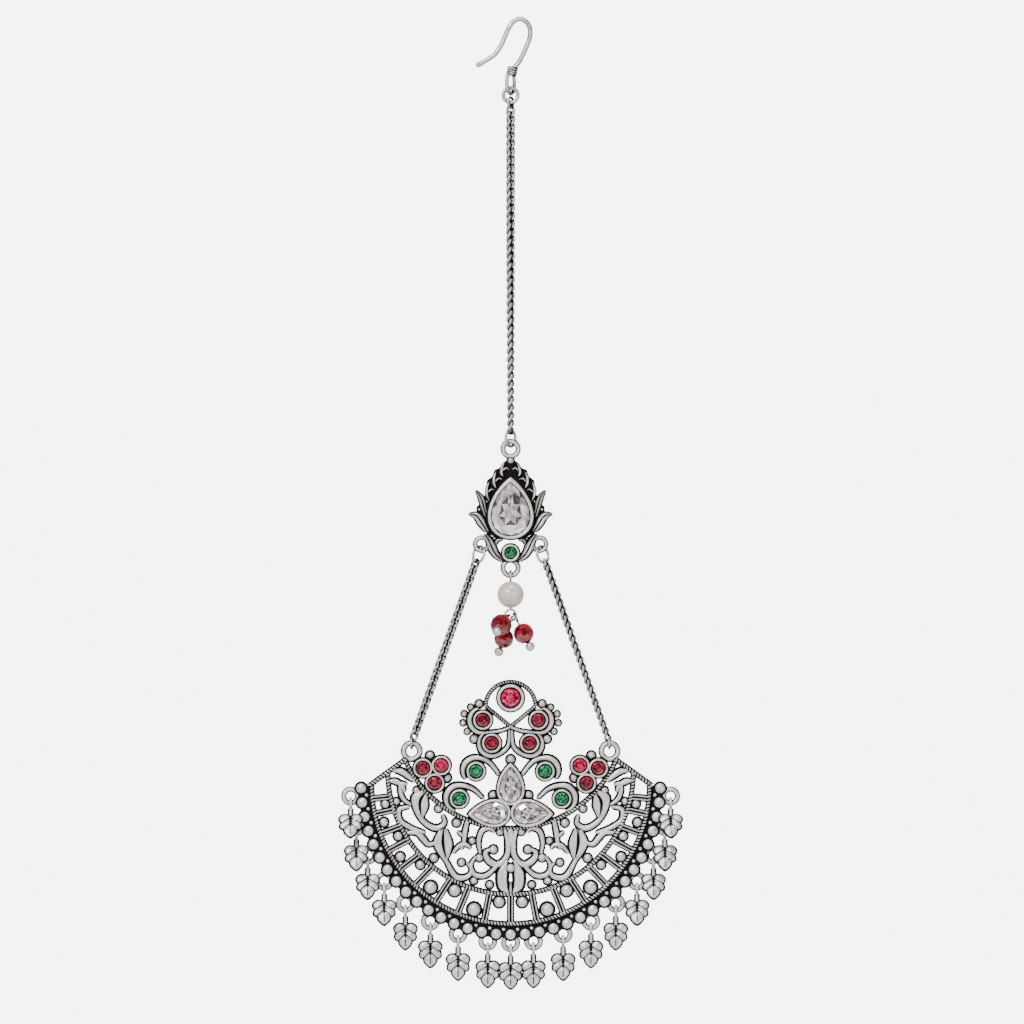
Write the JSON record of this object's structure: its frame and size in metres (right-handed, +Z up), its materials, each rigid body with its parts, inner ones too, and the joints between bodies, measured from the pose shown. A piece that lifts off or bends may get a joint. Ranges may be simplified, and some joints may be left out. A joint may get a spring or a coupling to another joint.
{
  "type": "maang tikka with chain, medallion and fan pendant",
  "caption": "Hanging forehead jewel: hair hook, chain, pear-stone medallion with pearl drop, and a pierced fan pendant with stones and leaf drops.",
  "frame": {"origin": "inside of the hair hook's bend, where the jewel hangs", "axes": "+Z up, +X to the right as seen from the front, the front facing -Y"},
  "size_m": [0.0616, 0.0081, 0.1751],
  "materials": {
    "silver": "polished antique silver, blackened in the recesses",
    "clear_stone": "cut and polished",
    "red_stone": "cut and polished",
    "green_stone": "cut and polished",
    "red_bead": "glossy, opaque",
    "pearl": "satin, pearly"
  },
  "bodies": {
    "upper": {"hook": "silver", "top_ring": "silver", "top_link": "silver", "main_chain": "silver", "medallion_ring": "silver", "medallion": "silver", "medallion_pear": "clear_stone", "medallion_green": "green_stone", "pearl_pin": "silver", "pearl": "pearl", "bead_pin_1": "silver", "red_bead_1": "red_bead", "bead_pin_2": "silver", "red_bead_2": "red_bead", "bead_pin_3": "silver", "red_bead_3": "red_bead", "side_ring_left": "silver", "end_link_left": "silver", "side_chain_left": "silver", "side_ring_right": "silver", "end_link_right": "silver", "side_chain_right": "silver"},
    "pendant": {"fan": "silver", "crest_stone_top": "red_stone", "pear_stone_upright": "clear_stone", "pear_stone_left": "clear_stone", "shoulder_stone_outer_left": "red_stone", "shoulder_stone_inner_left": "red_stone", "shoulder_stone_lower_left": "red_stone", "green_stone_lower_left": "green_stone", "green_stone_upper_left": "green_stone", "crest_stone_upper_left": "red_stone", "crest_stone_lower_left": "red_stone", "pear_stone_right": "clear_stone", "shoulder_stone_outer_right": "red_stone", "shoulder_stone_inner_right": "red_stone", "shoulder_stone_lower_right": "red_stone", "green_stone_lower_right": "green_stone", "green_stone_upper_right": "green_stone", "crest_stone_upper_right": "red_stone", "crest_stone_lower_right": "red_stone", "leaf_01": "silver", "leaf_02": "silver", "leaf_03": "silver", "leaf_04": "silver", "leaf_05": "silver", "leaf_06": "silver", "leaf_07": "silver", "leaf_08": "silver", "leaf_09": "silver", "leaf_10": "silver", "leaf_11": "silver", "leaf_12": "silver", "leaf_13": "silver", "leaf_14": "silver", "leaf_15": "silver", "leaf_16": "silver", "leaf_17": "silver"}
  },
  "joints": [
    {"name": "pendant_swing", "type": "hinge", "parent": "upper", "child": "pendant", "pos_m": [-0.0016, 0, -0.12986], "axis": [1, 0, 0], "range_deg": [-60, 60]}
  ]
}
